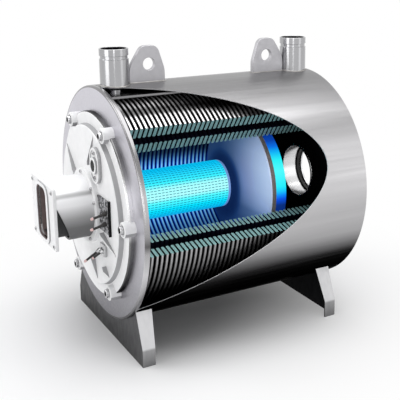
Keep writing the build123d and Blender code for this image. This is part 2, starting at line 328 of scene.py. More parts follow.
def shade_sides(piece):
    """Gives the faces that look sideways the piece's second material, a darker copy that paints shade on
    them.
    """
    frontal = 0.35
    for face in piece.data.polygons:
        if abs(face.normal.y) < frontal:
            face.material_index = 1


# Materials


def feed(made, inputs, values):
    """Sets each input to its value, or links it where the value is another node's output."""
    for key, value in values.items():
        if isinstance(value, bpy.types.NodeSocket):
            made.node_tree.links.new(value, inputs[key])
        else:
            inputs[key].default_value = value


def node(made, kind, values=None, **settings):
    new = made.node_tree.nodes.new(kind)
    for key, value in settings.items():
        setattr(new, key, value)
    feed(made, new.inputs, values or {})
    return new


def shader(made, values):
    """Sets or links inputs of the material's own shader."""
    feed(made, made.node_tree.nodes["Principled BSDF"].inputs, values)


def material(name, colour, metallic, roughness):
    made = bpy.data.materials.new(name)
    made.use_nodes = True
    shader(made, {"Base Color": (*colour, 1), "Metallic": metallic, "Roughness": roughness})
    return made


def object_place(made):
    return node(made, "ShaderNodeTexCoord").outputs["Object"]


def combine(made, operation, *values):
    """Vector that the operation makes of its values."""
    return node(made, "ShaderNodeVectorMath", dict(enumerate(values)), operation=operation).outputs["Vector"]


def reckon(made, operation, *values):
    """Number that the operation makes of its values."""
    return node(made, "ShaderNodeMath", dict(enumerate(values)), operation=operation).outputs["Value"]


def length_of(made, vector):
    return node(made, "ShaderNodeVectorMath", {0: vector}, operation="LENGTH").outputs["Value"]


def each_way(stretch):
    """A single number stretches every axis alike."""
    return stretch if isinstance(stretch, tuple) else (stretch,) * 3


def noise(made, stretch, detail=4.0, roughness=0.55):
    """Noise in the object's own metres, stretched by scaling each axis."""
    mapping = node(made, "ShaderNodeMapping", {"Vector": object_place(made), "Scale": each_way(stretch)})
    texture = node(made, "ShaderNodeTexNoise", {
        "Vector": mapping.outputs["Vector"], "Scale": 1, "Detail": detail, "Roughness": roughness})
    return texture.outputs["Fac"]


def span(made, source, start, end, low=0, high=1, curve="LINEAR"):
    """low where the source is at start, high where it is at end."""
    return node(made, "ShaderNodeMapRange", {
        "Value": source, "From Min": start, "From Max": end, "To Min": low, "To Max": high},
        interpolation_type=curve).outputs["Result"]


def ramp(made, source, stops):
    """Colour ramp of (position, (r, g, b)) stops."""
    new = node(made, "ShaderNodeValToRGB", {"Fac": source})
    elements = new.color_ramp.elements
    while len(elements) < len(stops):
        elements.new(0.5)
    for element, (position, colour) in zip(elements, stops):
        element.position = position
        element.color = (*colour, 1)
    return new.outputs["Color"]


def colours_along(made, source, bands):
    """Colour that follows (place, (r, g, b)) bands along a coordinate."""
    low, high = bands[0][0], bands[-1][0]
    stops = [((place - low) / (high - low), colour) for place, colour in bands]
    return ramp(made, span(made, source, low, high), stops)


def steps_along(made, source, steps):
    """Grey factor that follows (place, factor) steps along a coordinate."""
    return colours_along(made, source, [(place, (factor,) * 3) for place, factor in steps])


def vary_colour(made, source, colour, amount, grades=()):
    """Colour that changes a little with the source, times each grade's factor."""
    dark, pale = (tuple(min(1, c * factor) for c in colour) for factor in (1 - amount, 1 + amount))
    tone = ramp(made, source, ((NOISE_LOW, dark), (NOISE_HIGH, pale)))
    for coordinate, steps in dict(grades).items():
        tone = combine(made, "MULTIPLY", tone, steps_along(made, coordinate(made), steps))
    shader(made, {"Base Color": tone})


def vary_roughness(made, source, low, high):
    shader(made, {"Roughness": span(made, source, NOISE_LOW, NOISE_HIGH, low, high)})


def bump(made, source, strength, height):
    relief = node(made, "ShaderNodeBump", {"Strength": strength, "Distance": height, "Height": source})
    shader(made, {"Normal": relief.outputs["Normal"]})


def glow(made, colour, strength):
    shader(made, {"Emission Color": colour, "Emission Strength": strength})


def axis_value(made, axis, start):
    """The object's own coordinate along an axis, counted from start."""
    split = node(made, "ShaderNodeSeparateXYZ", {"Vector": object_place(made)})
    return reckon(made, "ADD", split.outputs[axis], -start)


def side_value(made):
    return axis_value(made, "X", 0)


def depth_value(made):
    """Distance behind the front plate's face."""
    return axis_value(made, "Y", FRONT_Y)


def height_value(made):
    """Height above the boiler's axis."""
    return axis_value(made, "Z", AXIS_Z)


def line_distance(made, x, height):
    """Distance from a line along Y."""
    offset = combine(made, "SUBTRACT", object_place(made), (x, 0, AXIS_Z + height))
    return length_of(made, combine(made, "MULTIPLY", offset, (1, 0, 1)))


def radius_value(made):
    """Distance from the boiler's axis."""
    return line_distance(made, 0, 0)


def worked_metal(name, colour, roughness, stretch, tone=0.06, relief=(0.1, 0.0001), metallic=1, grades=(),
                 glancing=(), specular=0.5):
    """Metal with a grain: slow changes of tone and fine scratches along one direction. grades paint shade and
    highlights into its colour along coordinates, and glancing dims by height what it reflects at a glancing
    angle, as painted shade."""
    slow_grain = 0.12
    made = material(name, colour, metallic, roughness)
    slow = noise(made, tuple(s * slow_grain for s in each_way(stretch)), 5.0)
    vary_colour(made, slow, colour, tone, grades)
    fine = noise(made, stretch, 3.0)
    vary_roughness(made, fine, roughness * 0.8, roughness * 1.25)
    bump(made, fine, *relief)
    shader(made, {"Specular IOR Level": specular})
    if glancing:
        shader(made, {"Specular Tint": steps_along(made, height_value(made), glancing)})
    return made


def plain_look(name, colour, roughness, stretch, tone, detail=4.0, relief=(), light=()):
    """Surface without metal: a little noise in its colour, and relief and light of its own if given."""
    made = material(name, colour, 0, roughness)
    grain = noise(made, stretch, detail)
    vary_colour(made, grain, colour, tone)
    if relief:
        bump(made, grain, *relief)
    if light:
        glow(made, *light)
    return made


# Painted shade and painted reflections: the shell goes from near black at the bottom to full colour at mid
# height, with lighter and darker bands near the top, and its glancing reflections are dimmed low down.
shell_steel = worked_metal(
    "brushed_shell_painted_shade", (0.52, 0.515, 0.525), 0.36, (110, 3, 110), 0.09,
    grades={height_value: (
        (-0.27, 0.005), (-0.22, 0.015), (-0.185, 0.06), (-0.16, 0.14), (-0.133, 0.36), (-0.1, 0.7),
        (-0.05, 0.95), (0.02, 1), (0.14, 1), (0.19, 0.7), (0.215, 0.8), (0.24, 0.5), (0.29, 0.44))},
    glancing=((-0.28, 0), (-0.17, 0), (-0.1, 0.9), (0, 1)))
# Painted shade: the plates darken towards the bottom.
plate_steel = worked_metal(
    "rolled_plate_steel", (0.6, 0.59, 0.635), 0.4, (160, 60, 160), 0.03,
    grades={height_value: ((-0.3, 0.4), (-0.18, 0.58), (0, 0.95), (0.3, 1))})
# Painted highlights and shade: the turned edges go dark at the bottom, with lighter and darker bands up their
# height.
edge_steel = worked_metal(
    "turned_edge_steel", (0.8, 0.79, 0.81), 0.22, (12, 60, 12), 0.05,
    grades={height_value: (
        (-0.3, 0.06), (-0.24, 0.16), (-0.17, 0.45), (-0.1, 0.74), (-0.045, 0.5), (-0.025, 0.14),
        (0, 0.4), (0.05, 0.6), (0.09, 0.66), (0.13, 0.36), (0.18, 0.24), (0.3, 0.32))})
pipe_steel = worked_metal("satin_pipe_steel", (0.4, 0.4, 0.41), 0.16, (40, 40, 4), 0.1)
bright_steel = worked_metal("bright_tube_steel", (0.74, 0.74, 0.75), 0.25, (60, 6, 60), 0.12)
# Painted shade: the legs' flanges darken below the fold at the foot, and a little towards the top.
leg_steel = worked_metal(
    "satin_sheet_steel", (0.6, 0.6, 0.61), 0.5, (90, 90, 10), 0.04,
    grades={height_value: ((-0.36, 0.34), (-0.318, 0.5), (-0.312, 1), (-0.24, 1), (-0.2, 0.85))})
# Painted shade: a dark copy of the leg steel for the webs' outer faces, darker to the left with a step in
# tone, and darker towards the floor.
web_steel = worked_metal(
    "leg_web_painted_shade", (0.12, 0.12, 0.125), 0.36, (60, 60, 30), 0.03, (0.03, 0.0001),
    grades={side_value: ((-0.23, 0.22), (-0.095, 0.34), (-0.07, 0.52), (0.05, 0.6), (0.23, 0.76)),
            height_value: ((-0.36, 0.45), (-0.325, 0.72), (-0.28, 1))})
# Painted shade: near black for the legs' inner faces.
inner_web_steel = worked_metal(
    "leg_inside_painted_shade", (0.008, 0.008, 0.009), 0.6, (60, 60, 30), 0.05, metallic=0, specular=0.05)
lug_steel = worked_metal("lug_plate_steel", (0.44, 0.435, 0.455), 0.42, 90, 0.04)
cut_edge = worked_metal("sawn_sheet_edge", (0.62, 0.62, 0.63), 0.5, 300, 0.1, metallic=0.3)
# Painted highlight and shade: the door's rim is light from the axis height to a little above it and dark
# below and near the top, where its glancing reflections are dimmed too.
door_rim = worked_metal(
    "polished_door_rim", (0.74, 0.74, 0.75), 0.25, (20, 60, 20), 0.05,
    grades={height_value: (
        (-0.24, 0.16), (-0.12, 0.2), (-0.035, 0.24), (-0.005, 0.9), (0.08, 0.95), (0.12, 0.45),
        (0.16, 0.18), (0.24, 0.18))},
    glancing=((-0.24, 0.2), (-0.035, 0.2), (0, 1), (0.1, 1), (0.16, 0.3)))
# Painted shade: a darker copy of the casting for walls, sides and undersides.
shaded_casting = worked_metal("cast_painted_shade", (0.36, 0.36, 0.37), 0.5, 200, 0.1, metallic=0)
# Painted shadow: near black for the duct's neck.
neck_shadow = worked_metal("cast_neck_painted_shadow", (0.05, 0.05, 0.052), 0.6, 200, 0.15, metallic=0)
# Painted reflections and shade: bright and dark bands up the outer coil, darker towards the bottom and
# towards the rear, dark down in the gaps between turns, and glancing reflections dimmed low down.
coil_steel = worked_metal(
    "coil_tube_steel", (0.92, 0.91, 0.92), 0.3, (30, 120, 30), 0.06, metallic=0.7,
    grades={height_value: (
        (-0.26, 0), (-0.18, 0.02), (-0.125, 0.22), (-0.066, 0.55), (0, 1), (0.228, 1),
        (0.239, 0.6), (0.244, 0.12), (0.252, 0.08), (0.258, 0.45), (0.268, 1)),
            depth_value: ((0.1, 1), (0.3, 0.6), (0.5, 0.35)),
            radius_value: [(OUTER_COIL[1] - sunk, factor) for sunk, factor in (
                (0.006, 0), (0.0012, 0.12), (0.0003, 1))]},
    glancing=((-0.26, 0), (-0.16, 0.05), (-0.11, 0.5), (-0.066, 1)))
weld_steel = worked_metal("weld_bead_steel", (0.34, 0.33, 0.32), 0.38, 500, 0.25, (0.5, 0.0006))
casting = worked_metal(
    "cast_aluminium", (0.88, 0.88, 0.885), 0.42, 420, 0.03, (0.12, 0.0003), 0)
# Painted shade and a painted crease: the duct casting darkens towards the bottom and has a dark line across
# its upper side.
duct_casting = worked_metal(
    "machined_duct_casting", (0.88, 0.88, 0.89), 0.42, 9, 0.03, (0.03, 0.0001), 0.2,
    grades={height_value: (
        (-0.085, 0.04), (-0.078, 0.12), (-0.06, 0.16), (-0.03, 0.21), (-0.005, 0.44), (0.013, 0.74),
        (0.026, 1), (0.043, 1), (0.048, 0.5), (0.052, 0.56), (0.057, 1), (0.085, 1))})
screw_steel = worked_metal("screw_steel", (0.5, 0.5, 0.51), 0.22, 900, 0.1)
# Painted shade: near black for inner walls and bores where shade falls.
interior_painted_shade = worked_metal(
    "interior_painted_shade", (0.004, 0.004, 0.005), 0.75, 80, 0.3, (0.2, 0.0004), 0, specular=0.08)
seal_rubber = worked_metal(
    "seal_rubber", (0.006, 0.006, 0.006), 0.55, 300, 0.3, (0.3, 0.0003), 0)
socket_black = worked_metal(
    "screw_socket_shadow", (0.006, 0.006, 0.007), 0.6, 400, 0.3, (0.3, 0.0002), 0, specular=0.1)

coil_cut = plain_look("coil_cut_faces", (0.23, 0.42, 0.41), 0.5, 260, 0.2, 3.0, (0.2, 0.0003))
# Painted light: the burner's slots glow faintly.
burner_slots = plain_look(
    "burner_slots", (0, 0.03, 0.05), 0.6, 200, 0.3, light=((0, 0.1, 0.15, 1), 0.8))
burner_end_skin = plain_look(
    "burner_end_glow", (0.3, 0.36, 0.6), 0.35, 90, 0.1, light=((0.16, 0.34, 0.75, 1), 0.5))
disc_edge = plain_look(
    "refractory_edge", (0.28, 0.25, 0.24), 0.7, (120, 400, 120), 0.15, relief=(0.4, 0.0006))
rod_dark = plain_look("electrode_rod", (0.012, 0.01, 0.01), 0.5, 300, 0.3)
red_tip = plain_look("pale_red_terminal", (0.74, 0.52, 0.5), 0.4, 300, 0.12)
duct_inside = plain_look("duct_inside", (0.22, 0.165, 0.16), 0.6, (90, 30, 90), 0.12, relief=(0.3, 0.0005))


def inner_coil_look():
    """Tube steel with painted light: its inner edge glows blue beside the flame, dimmer towards the front,
    the disc, the top and the bottom, and its flanks are dark as painted shade.
    """
    dark = (0.006, 0.006, 0.016)
    made = material("inner_coil_painted_flame_light", dark, 0, 0.6)
    shader(made, {"Specular IOR Level": 0.05})
    fine = noise(made, (30, 120, 30), 3.0)
    vary_colour(made, fine, dark, 0.3)
    vary_roughness(made, fine, 0.52, 0.68)
    along = steps_along(made, depth_value(made), (
        (COIL_START, 0.7), (0.25, 1), (DISC_START - 0.03, 0.75), (DISC_START, 0.5),
        (DISC_START + 0.004, 0)))
    upwards = steps_along(made, height_value(made), (
        (-0.16, 0.3), (-0.14, 0.5), (-0.12, 0.88), (-0.1, 1), (0.018, 1), (0.032, 0.62),
        (0.046, 0.24), (0.058, 0.08), (0.08, 0.03)))
    edge = colours_along(made, radius_value(made), [(INNER_COIL[0] + sunk, colour) for sunk, colour in (
        (0, (0.24, 0.62, 1)), (0.0003, (0.13, 0.48, 1)), (0.0007, (0.03, 0.24, 0.92)),
        (0.0014, (0, 0.06, 0.52)), (0.0035, (0, 0.014, 0.24)), (0.008, (0, 0.001, 0.06)),
        (0.016, (0, 0, 0)))])
    lit = combine(made, "MULTIPLY", along, upwards)
    glow(made, combine(made, "MULTIPLY", lit, edge), 1)
    return made


def burner_look():
    """Glowing burner skin, palest on the side of the cutaway."""
    made = material("burner_glow", (0, 0.1, 0.14), 0, 0.4)
    height = span(made, height_value(made), -BURNER_RADIUS, BURNER_RADIUS)
    glow(made, ramp(made, height, (
        (0, (0, 0.3, 0.8)), (0.28, (0, 0.78, 1)), (0.44, (0.08, 0.95, 1)),
        (0.54, (0.42, 1, 1)), (0.7, (0.38, 1, 1)), (0.8, (0.04, 0.88, 1)),
        (1, (0, 0.55, 0.95)))), 1)
    bump(made, noise(made, 500), 0.2, 0.0002)
    return made


def disc_face_look():
    """Lavender board that glows with painted light, with painted shade: dark blue in the burner's shadow and
    towards the left and the bottom.
    """
    made = material("refractory_board", (0.3, 0.36, 0.55), 0, 0.6)
    across = steps_along(made, side_value(made), (
        (-0.1, 0.1), (-0.06, 0.15), (-0.026, 0.22), (0.007, 0.34), (0.04, 0.5), (0.072, 0.66),
        (0.103, 0.82), (0.133, 0.93), (0.165, 1)))
    upwards = steps_along(made, height_value(made), (
        (-0.1, 0.3), (-0.07, 0.36), (-0.055, 0.56), (-0.035, 0.72), (0, 0.9), (0.06, 1),
        (0.1, 0.92), (0.14, 0.66)))
    shadow = steps_along(made, line_distance(made, -0.08, -0.03), (
        (0.072, 0.02), (0.083, 0.12), (0.094, 0.4), (0.106, 0.86), (0.12, 1)))
    share = combine(made, "MULTIPLY", combine(made, "MULTIPLY", across, upwards), shadow)
    tone = ramp(made, share, (
        (0, (0.001, 0.01, 0.065)), (0.07, (0.014, 0.05, 0.155)), (0.18, (0.07, 0.13, 0.25)),
        (0.36, (0.17, 0.25, 0.41)), (0.64, (0.36, 0.44, 0.63)), (1, (0.6, 0.7, 0.92))))
    shader(made, {"Base Color": tone})
    # The board glows a little with its own colour, as painted light.
    glow(made, tone, 0.45)
    bump(made, noise(made, 220), 0.2, 0.0004)
    return made


def lit_band_look():
    """Lit fibre band, cyan at mid height and deep blue above and below."""
    made = material("lit_fibre_band", (0, 0.02, 0.05), 0, 0.6)
    glow(made, colours_along(made, height_value(made), (
        (-0.03, (0, 0.02, 0.2)), (-0.012, (0, 0.08, 0.8)), (-0.002, (0, 0.26, 0.97)),
        (0.01, (0.005, 0.62, 1)), (0.022, (0.01, 0.9, 1)), (0.062, (0.07, 1, 1)),
        (0.088, (0.015, 0.93, 0.95)), (0.108, (0, 0.45, 0.95)), (0.12, (0, 0.16, 0.8)),
        (0.134, (0, 0.05, 0.42)), (0.165, (0, 0.002, 0.06)))), 0.95)
    bump(made, noise(made, (150, 500, 150)), 0.3, 0.0005)
    return made


def speckled_look():
    """Dark mottled insulating board."""
    made = material("mottled_insulator", (0.12, 0.12, 0.13), 0, 0.6)
    spots = noise(made, 150, roughness=0.7)
    tone = ramp(made, spots, (
        (0.42, (0.006, 0.006, 0.008)), (0.5, (0.06, 0.06, 0.065)), (0.58, (0.5, 0.5, 0.52))))
    shader(made, {"Base Color": tone})
    bump(made, spots, 0.3, 0.0004)
    return made


def pane_look():
    made = material("sight_glass_pane", (0.006, 0.007, 0.008), 0, 0.25)
    shader(made, {"Specular IOR Level": 0.05})
    vary_roughness(made, noise(made, 120), 0.2, 0.3)
    return made


inner_coil_steel = inner_coil_look()
burner_skin = burner_look()
disc_face = disc_face_look()
disc_glow = lit_band_look()
mottled = speckled_look()
pane = pane_look()


# Vessel


def cutaway_outline():
    """The pointed outline of the cutaway, with the way out of the shell and the way up across it."""
    direction = 20.0
    edge_margin, nose_margin = 0.026, 0.105
    front_handle, front_drop, nose_handle = 0.238, 0.034, 0.12
    steps = 32
    half_width = SHELL_RADIUS - edge_margin
    reach = SHELL_END - SHELL_START - nose_margin
    controls = ((0, half_width), (front_handle, half_width - front_drop), (reach, nose_handle), (reach, 0))
    side = []
    for i in range(steps + 1):
        t = i / steps
        weights = ((1 - t) ** 3, 3 * t * (1 - t) ** 2, 3 * t ** 2 * (1 - t), t ** 3)
        side.append(tuple(sum(w * c[k] for w, c in zip(weights, controls)) for k in (0, 1)))
    edge = [*side, *[(u, -v) for u, v in reversed(side[:-1])]]
    out_x, out_z = on_circle(1, direction)
    return edge, Vector((out_x, 0, out_z)), Vector((-out_z, 0, out_x))


def outer_shell():
    inner = SHELL_RADIUS - SHELL_WALL
    length = SHELL_END - SHELL_START
    profile = ((SHELL_RADIUS, 0), (SHELL_RADIUS, -length), (inner, -length), (inner, 0))
    bm = bmesh.new()
    # The shell's inner wall is painted black as shade.
    add_lathe(bm, profile, front_view(0, SHELL_START, 0), 256, True, (0, 0, 1, 0))
    blank = linked("shell_blank", finished_mesh("shell_blank", bm), (shell_steel, interior_painted_shade))

    # The tool is the cutaway's outline, pushed out sideways from the middle past the shell.
    overshoot = 0.02
    edge, out, up = cutaway_outline()
    outline = [(-overshoot, edge[0][1]), *edge, (-overshoot, edge[-1][1])]
    bm = bmesh.new()
    add_loft(bm, [[at(0, SHELL_START + u, 0) + up * v + out * push for u, v in outline]
                  for push in (0, SHELL_RADIUS * 1.2)])
    tool = linked("cutaway_tool", finished_mesh("cutaway_tool", bm), (cut_edge,))
    cut = blank.modifiers.new("cutaway", "BOOLEAN")
    cut.object = tool
    cut.operation = "DIFFERENCE"
    cut.solver = "EXACT"
    cut.material_mode = "TRANSFER"
    piece = new_piece("shell_with_cutaway", shaped(blank, tool), ())
    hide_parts("outer_shell")

    burr = 0.0011
    path = [at(0, SHELL_START + u, 0) + up * v + out * math.sqrt((SHELL_RADIUS - burr) ** 2 - v ** 2)
            for u, v in edge]
    wire("cutaway_edge", path, burr, cut_edge, closed=False)


def end_plates():
    chamfer = 0.0015
    rim = SHELL_RADIUS
    rolled = 0.0105
    face = rounded(((0, 0), (rim, 0), (rim, -PLATE), (0, -PLATE)), (0, rolled, chamfer, 0), steps=6)
    paint = [1 if min(a[0], b[0]) > rim - rolled - chamfer else 0 for a, b in zip(face, face[1:])]
    front = lathe("front_plate_disc", face, front_view(0, 0, 0), (plate_steel, edge_steel),
                  192, paint=paint)
    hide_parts("front_plate")

    # The rear plate has a hole for the collar, and its inner face is painted black as shade.
    collar_radius = 0.08
    collar_bore = 0.072
    hole = collar_radius - 0.004
    ring = ((hole, 0), (rim, 0), (rim, chamfer - PLATE), (rim - chamfer, -PLATE), (hole, -PLATE))
    rear = lathe("rear_plate_ring", ring, front_view(0, SHELL_END, 0),
                 (shell_steel, interior_painted_shade, plate_steel), 192, closed=True,
                 paint=(1, 0, 0, 2, 2))
    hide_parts("rear_plate")

    # The collar is painted black as shade inside the vessel and bright behind the rear plate.
    lip = 0.003
    touch = 1e-5
    outlet = COLLAR_START - COLLAR_END
    way_out = COLLAR_START - VESSEL_END
    pipe = rounded(((collar_radius, 0), (collar_radius, way_out), (collar_radius, outlet),
                    (collar_bore, outlet), (collar_bore, 0)), (lip, 0, lip, lip, lip), closed=True)
    paint = [1 if min(a[0], b[0]) > collar_radius - touch and min(a[1], b[1]) > way_out - touch else 0
             for a, b in zip(pipe, pipe[1:] + pipe[:1])]
    collar = lathe("flue_collar", pipe, front_view(0, COLLAR_START, 0), (bright_steel, interior_painted_shade),
                   96, closed=True, paint=paint)
    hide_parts("rear_plate")
    seal_depth = 0.65
    for name, depth, length, inset, soft, look, slot in (
            ("flue_seal", seal_depth, 0.011, 0.005, 0.002, seal_rubber, "insulator"),
            ("flue_stop_ring", seal_depth + 0.013, 0.006, 0.008, 0.0015, bright_steel, "pipe_steel")):
        section = rounded(((collar_bore, 0), (collar_bore, -length), (collar_bore - inset, -length),
                           (collar_bore - inset, 0)), soft, closed=True)
        lathe(name, section, front_view(0, depth, 0), (look,), 96, closed=True)
    weld = [at(x, VESSEL_END, z) for x, z in circle(collar_radius + 0.001, 72)]
    wire("flue_weld", weld, 0.003, weld_steel)


# Coils


def coil(name, radii, looks, cad_node):
    """Full stack of flattened tube turns, open at the wedge, with its sawn faces painted."""
    inner, outer = radii
    width = TURN_PITCH - TURN_GAP
    nose = ((inner, -width / 2), (outer, -width / 2), (outer, width / 2), (inner, width / 2))
    section = rounded(nose, width * 0.49, closed=True, steps=3)
    sweep = 360 - (WEDGE_TOP - WEDGE_BOTTOM)
    steps = 72
    spokes = [on_circle(1, WEDGE_TOP + sweep * i / steps) for i in range(steps + 1)]
    bm = bmesh.new()
    for turn in range(TURN_COUNT):
        depth = COIL_START + TURN_PITCH * (turn + 0.5)
        add_loft(bm, [[at(r * x, depth + y, r * z) for r, y in section] for x, z in spokes], cap_index=1)
    piece = from_bmesh(name, bm, looks)
    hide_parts(cad_node)


def upper_header():
    piece = bar("upper_header_bar", header_low, header_high, 0.002, edge_steel)
    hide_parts("upper_header")


# Burner and the disc behind it


def burner():
    """Tube whose skin is a grid of cells, each with a sunken slot."""
    columns, rows = 56, 32
    rim = 0.008
    pitch = (BURNER_END - rim - SHELL_START) / rows
    slot_width, slot_length = 0.24, 0.72
    sunk = 0.0014
    cell = ((0, 0), (1, 0), (1, 1), (0, 1))
    slot = [(0.5 + slot_width * (u - 0.5), 0.5 + slot_length * (v - 0.5)) for u, v in cell]
    bm = bmesh.new()

    def corner(column, row, radius):
        x, z = on_circle(radius, 360 * column / columns)
        return at(x, SHELL_START + pitch * row, z)

    grid = {(c, r): bm.verts.new(corner(c, r, BURNER_RADIUS))
            for c in range(columns) for r in range(rows + 1)}
    for c in range(columns):
        for r in range(rows):
            lip, floor = (add_ring(bm, [corner(c + u, r + v, radius) for u, v in slot])
                          for radius in (BURNER_RADIUS, BURNER_RADIUS - sunk))
            bridge(bm, [grid[((c + u) % columns, r + v)] for u, v in cell], lip)
            bridge(bm, lip, floor, 1)
            bm.faces.new(floor).material_index = 1
    skin = from_bmesh("burner_skin", bm, (burner_skin, burner_slots))
    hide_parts("burner_tube")
    dish = 0.002
    end = rounded(((BURNER_RADIUS, rim - BURNER_END), (BURNER_RADIUS, -BURNER_END),
                   (BURNER_RADIUS - 0.012, -BURNER_END), (BURNER_RADIUS - 0.016, dish - BURNER_END),
                   (0, dish - BURNER_END)), 0.003)
    lathe("burner_end", end, front_view(0, 0, 0), (burner_end_skin,), 96)


def refractory():
    board = 0.015
    face_edge = 0.003
    step = 0.002
    face = rounded(((0, 0), (DISC_RADIUS, 0), (DISC_RADIUS, -face_edge)), 0.0015)
    front = lathe("disc_board_face", face, front_view(0, DISC_START, 0), (disc_face,), 128)
    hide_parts("refractory_disc")
    edge = ((DISC_RADIUS, -face_edge), (DISC_RADIUS, -board), (DISC_RADIUS - step, -board))
    lathe("disc_board_edge", edge, front_view(0, DISC_START, 0), (disc_edge,), 128)
    thick = DISC_END - DISC_START - board
    band = rounded(((DISC_RADIUS - step, 0), (DISC_RADIUS - step, -thick), (0, -thick)), 0.003)
    # The band's back face is painted black as shade.
    lathe("disc_fibre_band", band, front_view(0, DISC_START + board, 0), (disc_glow, interior_painted_shade),
          128, paint=[0] * (len(band) - 2) + [1])


# Fittings on the crown


def water_stubs():
    radius, bore, neck, neck_wall = 0.0365, 0.032, 0.02, 0.003
    top = 0.391
    groove_low, groove_high = top - 0.026, top - 0.017
    groove, slant = 0.0022, 0.0006
    outside = ((radius, 0.295), (radius, groove_low), (radius - groove, groove_low + slant),
               (radius - groove, groove_high - slant), (radius, groove_high), (radius, top), (bore, top),
               (bore, 0.29), (neck, 0.289), (neck, HEADER_TOP), (neck - neck_wall, HEADER_TOP),
               (neck - neck_wall, 0.287))
    radii = (0, 0, 0.0008, 0.0008, 0, 0.0012, 0.0012, 0, 0, 0, 0, 0)
    profile = rounded(outside, radii, closed=True, steps=3)
    # The bore is painted black as shade.
    paint = [1 if max(a[0], b[0]) < bore + 0.0002 and b[1] > 0.288 else 0
             for a, b in zip(profile, profile[1:] + profile[:1])]
    for name, depth in (("front_water_stub", 0.056), ("rear_water_stub", 0.587)):
        stub = lathe(name, profile, Matrix.Translation(at(0, depth, 0)), (pipe_steel, interior_painted_shade),
                     64, closed=True, paint=paint)
        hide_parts("water_stubs")
        weld = [on_crown(x, depth + y) for x, y in circle(radius + 0.0008, 48)]
        wire(name + "_weld", weld, 0.0022, weld_steel)


def lifting_lugs():
    base, height, long_side, short_side, length = 0.299, 0.393, 0.339, 0.331, 0.097
    thickness, weld_side, weld_end = 0.014, 0.0085, 0.001
    corners = ((0, base), (0, long_side), (0.0335, height), (0.0775, height), (length, short_side),
               (length, base))
    for name, depth, way in (("front_lifting_lug", 0.093, 1), ("rear_lifting_lug", 0.55, -1)):
        edge = rounded([(depth + way * u, v) for u, v in corners], (0, 0.055, 0.024, 0.024, 0.06, 0),
                       closed=True, steps=8)
        eye = circle(0.016, 40, (depth + way * 0.0535, 0.3463))
        lug = plate(name, (edge, eye), thickness, side_view(-thickness / 2, 0, 0), (lug_steel,),
                    0.0012)
        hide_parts("lifting_lugs")
        foot = [on_crown(x, depth + way * u) for x, u in (
            (weld_side, -weld_end), (weld_side, length + weld_end), (-weld_side, length + weld_end),
            (-weld_side, -weld_end))]
        wire(name + "_weld", foot, 0.002, weld_steel)


# Legs


def leg(name, depth, way, cad_node):
    """Folded sheet channel: a web with a flange turned back along each side."""
    half, fold_height, sheet = 0.23, -0.313, 0.004
    foot_depth, top_depth = 0.034, 0.043
    arc_start, arc_steps = 50.3, 24
    floor = -AXIS_Z
    top_x, top_z = on_circle(SHELL_RADIUS - 0.006, -49)
    arc = [on_circle(SHELL_RADIUS + 0.0003, -arc_start - (180 - 2 * arc_start) * i / arc_steps)
           for i in range(arc_steps + 1)]
    web = [(-half, floor), (half, floor), (half, fold_height), (top_x, top_z), *arc, (-top_x, top_z),
           (-half, fold_height)]
    bm = bmesh.new()
    ring = add_ring(bm, [at(x, depth, z) for x, z in web])
    bm.faces.new(ring)
    for side, numbers in ((1, (1, 2, 3)), (-1, (0, -1, -2))):
        front = [(side * half, floor), (side * half, fold_height), (side * top_x, top_z)]
        back = add_ring(bm, [at(x, depth + way * reach, z)
                             for (x, z), reach in zip(front, (foot_depth, foot_depth, top_depth))])
        for i in range(2):
            bm.faces.new((ring[numbers[i]], back[i], back[i + 1], ring[numbers[i + 1]]))
    mesh = finished_mesh(name, bm)
    if mesh.polygons[0].normal.y * way > 0:
        mesh.flip_normals()
    blank = linked("folded_sheet", mesh)
    thicken = blank.modifiers.new("sheet", "SOLIDIFY")
    thicken.thickness = sheet
    thicken.offset = -1
    thicken.use_even_offset = True
    soften = blank.modifiers.new("folds", "BEVEL")
    soften.width = 0.0012
    soften.segments = 2
    soften.limit_method = "ANGLE"
    soften.angle_limit = math.radians(25)
    piece = new_piece(name, shaped(blank), (leg_steel, web_steel, inner_web_steel))
    # The webs' outer faces get the dark web steel, and their inner faces and the flanges' inner sides the
    # near-black steel: both are painted shade.
    for face in piece.data.polygons:
        inward = face.normal.x * face.center.x < 0 and abs(face.normal.x) > 0.5
        if face.normal.y * way < -0.8:
            face.material_index = 1
        elif face.normal.y * way > 0.8 or inward:
            face.material_index = 2
    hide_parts(cad_node)


# Burner door


def socket_screws(name, screws):
    """Cap screws, each given by its plane, its radius, its height and the reach of its six-sided socket."""
    steps, top_share, socket_floor = 24, 0.88, 0.35
    bm = bmesh.new()
    for plane, radius, height, across in screws:
        hexagon = []
        for i in range(steps):
            angle = 360 * i / steps
            reach = across * math.cos(math.radians(30)) / math.cos(math.radians(angle % 60 - 30))
            hexagon.append(on_circle(reach, angle))
        side, top = circle(radius, steps), circle(radius * top_share, steps)
        levels = ((side, 0), (side, height - 0.001), (top, height), (hexagon, height),
                  (hexagon, height * socket_floor))
        rings = [add_ring(bm, [plane @ Vector((x, y, z)) for x, y in outline]) for outline, z in levels]
        for low, high in zip(rings, rings[1:]):
            bridge(bm, low, high, 1 if high is rings[-1] else 0)
        bm.faces.new(rings[-1]).material_index = 1
    from_bmesh(name, bm, (screw_steel, socket_black))


